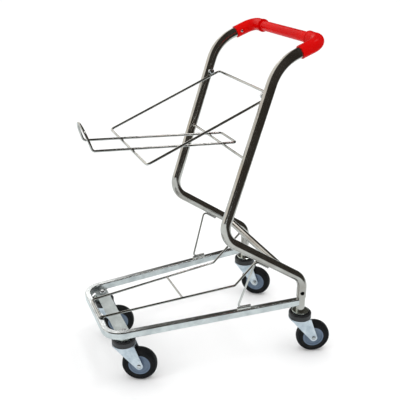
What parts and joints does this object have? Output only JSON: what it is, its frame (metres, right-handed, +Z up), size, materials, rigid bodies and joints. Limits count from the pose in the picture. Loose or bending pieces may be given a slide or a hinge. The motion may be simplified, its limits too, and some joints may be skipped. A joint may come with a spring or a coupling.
{
  "type": "shopping cart",
  "caption": "Wheeled shopping cart frame with bent side tubes, a push handle, a hinged upper basket rack, a lower basket rack and swivel casters.",
  "frame": {"origin": "on the floor, under the middle of the cart's overall box, on its centre plane", "axes": "+Z up; the cart's front faces -Y and the handle is towards +Y; +X is the cart's left"},
  "size_m": [0.4572, 0.6837, 0.9585],
  "materials": {
    "tube_chrome": "bright plated tube",
    "wire_chrome": "bright plated wire",
    "rail_zinc": "satin zinc plate",
    "plate_zinc": "dull zinc plate",
    "fork_zinc": "mottled bluish zinc plate",
    "race_zinc": "bright zinc plate",
    "fastener_steel": "bright zinc plate",
    "red_plastic": "glossy red moulding",
    "black_plastic": "matt black moulding",
    "hub_plastic": "grey-blue moulding",
    "tyre": "black rubber"
  },
  "bodies": {
    "frame": {"base_frame_tube": "rail_zinc", "caster_king_pins": "fastener_steel", "crossbar": "tube_chrome", "front_cross_plate": "plate_zinc", "front_left_upper_race": "race_zinc", "front_right_upper_race": "race_zinc", "front_stem_nuts": "fastener_steel", "handle_core_tube": "fastener_steel", "handle_elbow_left": "red_plastic", "handle_elbow_right": "red_plastic", "handle_grip": "red_plastic", "handle_screws": "fastener_steel", "lower_rack_cross_wire": "wire_chrome", "lower_rack_wire": "wire_chrome", "pivot_screws": "fastener_steel", "post_foot_plugs": "fastener_steel", "rack_rest_rod": "wire_chrome", "rear_left_upper_race": "race_zinc", "rear_right_upper_race": "race_zinc", "side_tube_left": "tube_chrome", "side_tube_right": "tube_chrome", "stay_foot_pads": "wire_chrome", "stay_wire_left": "wire_chrome", "stay_wire_right": "wire_chrome"},
    "basket_rack": {"basket_frame_loop": "wire_chrome", "basket_carrier_loop": "wire_chrome", "pivot_bush_left": "fastener_steel", "pivot_bush_right": "fastener_steel"},
    "rear_left_caster": {"rear_left_race_balls": "fastener_steel", "rear_left_guard_ring": "black_plastic", "rear_left_fork": "fork_zinc", "rear_left_axle_bolt": "fastener_steel", "rear_left_axle_nut": "fastener_steel"},
    "rear_left_wheel": {"rear_left_tyre": "tyre", "rear_left_hub": "hub_plastic", "rear_left_wheel_bush": "fastener_steel"},
    "rear_right_caster": {"rear_right_race_balls": "fastener_steel", "rear_right_guard_ring": "black_plastic", "rear_right_fork": "fork_zinc", "rear_right_axle_bolt": "fastener_steel", "rear_right_axle_nut": "fastener_steel"},
    "rear_right_wheel": {"rear_right_tyre": "tyre", "rear_right_hub": "hub_plastic", "rear_right_wheel_bush": "fastener_steel"},
    "front_left_caster": {"front_left_race_balls": "fastener_steel", "front_left_guard_ring": "black_plastic", "front_left_fork": "fork_zinc", "front_left_axle_bolt": "fastener_steel", "front_left_axle_nut": "fastener_steel"},
    "front_left_wheel": {"front_left_tyre": "tyre", "front_left_hub": "hub_plastic", "front_left_wheel_bush": "fastener_steel"},
    "front_right_caster": {"front_right_race_balls": "fastener_steel", "front_right_guard_ring": "black_plastic", "front_right_fork": "fork_zinc", "front_right_axle_bolt": "fastener_steel", "front_right_axle_nut": "fastener_steel"},
    "front_right_wheel": {"front_right_tyre": "tyre", "front_right_hub": "hub_plastic", "front_right_wheel_bush": "fastener_steel"}
  },
  "joints": [
    {"name": "rack_hinge", "type": "hinge", "parent": "frame", "child": "basket_rack", "pos_m": [0, 0.1071, 0.8074], "axis": [-1, 0, 0], "range_deg": [0, 75]},
    {"name": "rear_left_swivel", "type": "hinge", "parent": "frame", "child": "rear_left_caster", "pos_m": [0.19, 0.2495, 0.142], "axis": [0, 0, 1], "continuous": true},
    {"name": "rear_left_wheel_spin", "type": "hinge", "parent": "rear_left_caster", "child": "rear_left_wheel", "pos_m": [0.20416, 0.29063, 0.051], "axis": [0.9455, -0.3256, 0], "continuous": true},
    {"name": "rear_right_swivel", "type": "hinge", "parent": "frame", "child": "rear_right_caster", "pos_m": [-0.19, 0.2495, 0.142], "axis": [0, 0, 1], "continuous": true},
    {"name": "rear_right_wheel_spin", "type": "hinge", "parent": "rear_right_caster", "child": "rear_right_wheel", "pos_m": [-0.16204, 0.28282, 0.051], "axis": [0.766, -0.6428, 0], "continuous": true},
    {"name": "front_left_swivel", "type": "hinge", "parent": "frame", "child": "front_left_caster", "pos_m": [0.115, -0.2825, 0.142], "axis": [0, 0, 1], "continuous": true},
    {"name": "front_left_wheel_spin", "type": "hinge", "parent": "front_left_caster", "child": "front_left_wheel", "pos_m": [0.13338, -0.24308, 0.051], "axis": [0.9063, -0.4226, 0], "continuous": true},
    {"name": "front_right_swivel", "type": "hinge", "parent": "frame", "child": "front_right_caster", "pos_m": [-0.115, -0.2825, 0.142], "axis": [0, 0, 1], "continuous": true},
    {"name": "front_right_wheel_spin", "type": "hinge", "parent": "front_right_caster", "child": "front_right_wheel", "pos_m": [-0.10448, -0.24029, 0.051], "axis": [0.9703, -0.2419, 0], "continuous": true}
  ]
}
